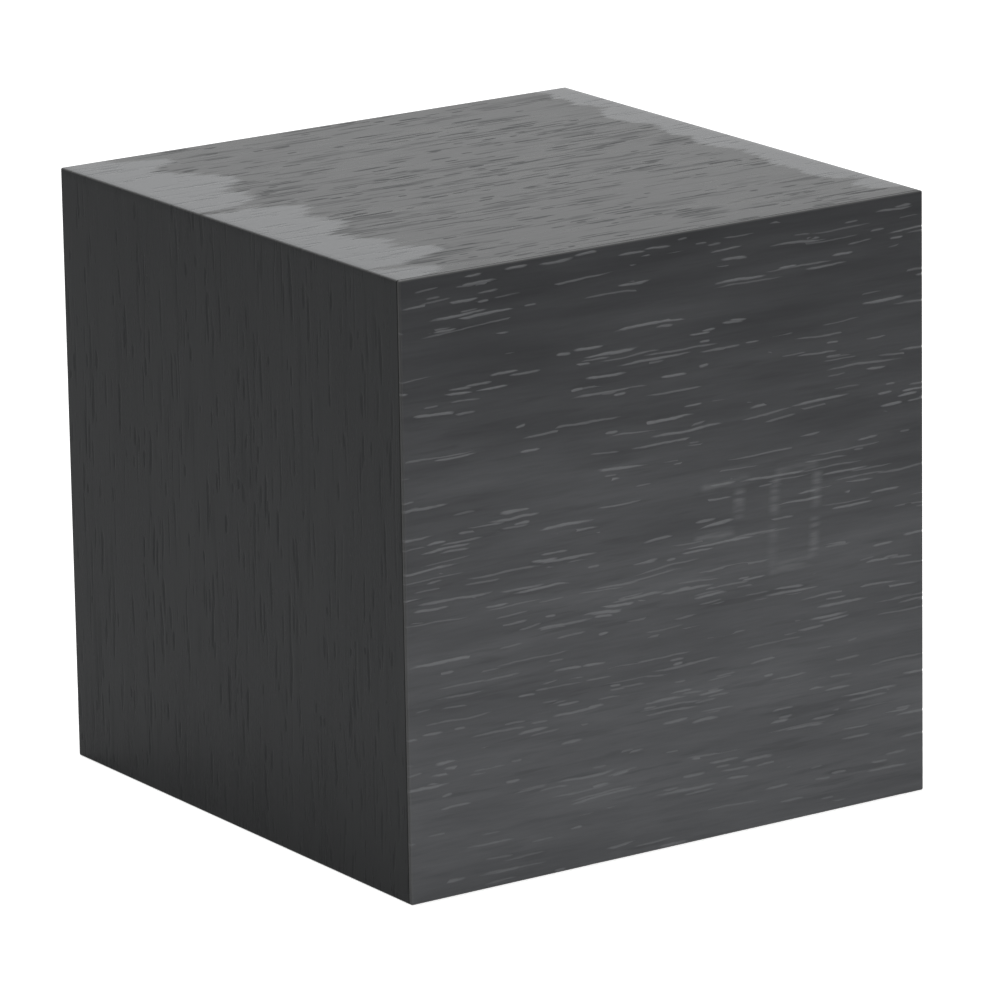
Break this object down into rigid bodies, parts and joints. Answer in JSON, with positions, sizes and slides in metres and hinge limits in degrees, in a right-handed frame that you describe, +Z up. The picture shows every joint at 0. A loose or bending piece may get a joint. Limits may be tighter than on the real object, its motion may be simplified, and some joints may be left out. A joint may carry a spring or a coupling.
{
  "type": "cube alarm clock",
  "caption": "Cube-shaped desk alarm clock in black-stained wood veneer with an LED display hidden behind its front face, push buttons and a battery door at the back.",
  "frame": {"origin": "centre of the bottom face, on the surface that the clock stands on", "axes": "+Z up, -Y towards the display face, +Y towards the battery door, +X to the right seen from the front"},
  "size_m": [0.08, 0.08, 0.08],
  "materials": {
    "stained_veneer": "open-pored veneer, stained black, satin",
    "fibreboard": "raw fibreboard",
    "batten": "planed softwood",
    "black_abs": "moulded, fine spark texture",
    "key_abs": "moulded, satin",
    "white_abs": "moulded reflector",
    "diffuser": "milky acrylic",
    "lamp": "lamp chips",
    "circuit_board": "green solder mask",
    "tinned_steel": "tinned",
    "zinc_steel": "zinc plated",
    "chip_epoxy": "moulded epoxy",
    "can_aluminium": "drawn can",
    "holder_nylon": "moulded nylon",
    "nickel_steel": "nickel plated",
    "cell_wrap": "printed film sleeve, plain",
    "wire_pvc": "extruded",
    "ribbon_pvc": "extruded flat cable"
  },
  "bodies": {
    "case": {"veneer_front": "stained_veneer", "veneer_top": "stained_veneer", "veneer_bottom": "stained_veneer", "veneer_left": "stained_veneer", "veneer_right": "stained_veneer", "panel_top": "fibreboard", "panel_bottom": "fibreboard", "panel_left": "fibreboard", "panel_right": "fibreboard", "front_board": "fibreboard", "corner_block_low_left": "batten", "corner_block_high_left": "batten", "corner_block_low_right": "batten", "corner_block_high_right": "batten", "window_plate": "diffuser", "display_housing": "white_abs", "display_segments": "diffuser", "display_leds": "lamp", "display_substrate": "circuit_board", "display_pins": "tinned_steel", "main_board": "circuit_board", "board_spacers": "white_abs", "board_screws": "zinc_steel", "controller_chip": "chip_epoxy", "crystal": "can_aluminium", "capacitors": "can_aluminium", "sound_sensor": "can_aluminium", "coin_cell_holder": "holder_nylon", "coin_cell": "nickel_steel", "coin_cell_clip": "nickel_steel", "back_cover": "black_abs", "cover_screws": "zinc_steel", "cell_1": "cell_wrap", "cell_2": "cell_wrap", "cell_3": "cell_wrap", "contact_negative": "nickel_steel", "contact_bridge_left": "nickel_steel", "contact_bridge_right": "nickel_steel", "contact_positive": "nickel_steel", "battery_springs": "nickel_steel", "tact_switches": "chip_epoxy", "rear_board": "circuit_board", "rear_board_screws": "zinc_steel", "slide_switch_body": "tinned_steel", "usb_shell": "tinned_steel", "usb_tongue": "holder_nylon", "buzzer": "chip_epoxy", "temperature_sensor": "chip_epoxy", "battery_leads": "wire_pvc", "ribbon_cable": "ribbon_pvc"},
    "set_key": {"button_set": "key_abs", "tact_plunger_set": "holder_nylon"},
    "down_key": {"button_down": "key_abs", "tact_plunger_down": "holder_nylon"},
    "up_key": {"button_up": "key_abs", "tact_plunger_up": "holder_nylon"},
    "slide_knob": {"switch_knob": "holder_nylon"},
    "door": {"battery_door": "black_abs", "door_latch": "black_abs"}
  },
  "joints": [
    {"name": "set_key_press", "type": "slide", "parent": "case", "child": "set_key", "axis": [0, -1, 0], "range_m": [0, 0.0003], "stiffness_N_per_m": 800},
    {"name": "down_key_press", "type": "slide", "parent": "case", "child": "down_key", "axis": [0, -1, 0], "range_m": [0, 0.0003], "stiffness_N_per_m": 800},
    {"name": "up_key_press", "type": "slide", "parent": "case", "child": "up_key", "axis": [0, -1, 0], "range_m": [0, 0.0003], "stiffness_N_per_m": 800},
    {"name": "slide_knob_move", "type": "slide", "parent": "case", "child": "slide_knob", "axis": [1, 0, 0], "range_m": [0, 0.002]},
    {"name": "battery_door_hinge", "type": "hinge", "parent": "case", "child": "door", "pos_m": [0, 0.039, 0.0075], "axis": [-1, 0, 0], "range_deg": [0, 75], "deforming": ["door_latch"]}
  ]
}
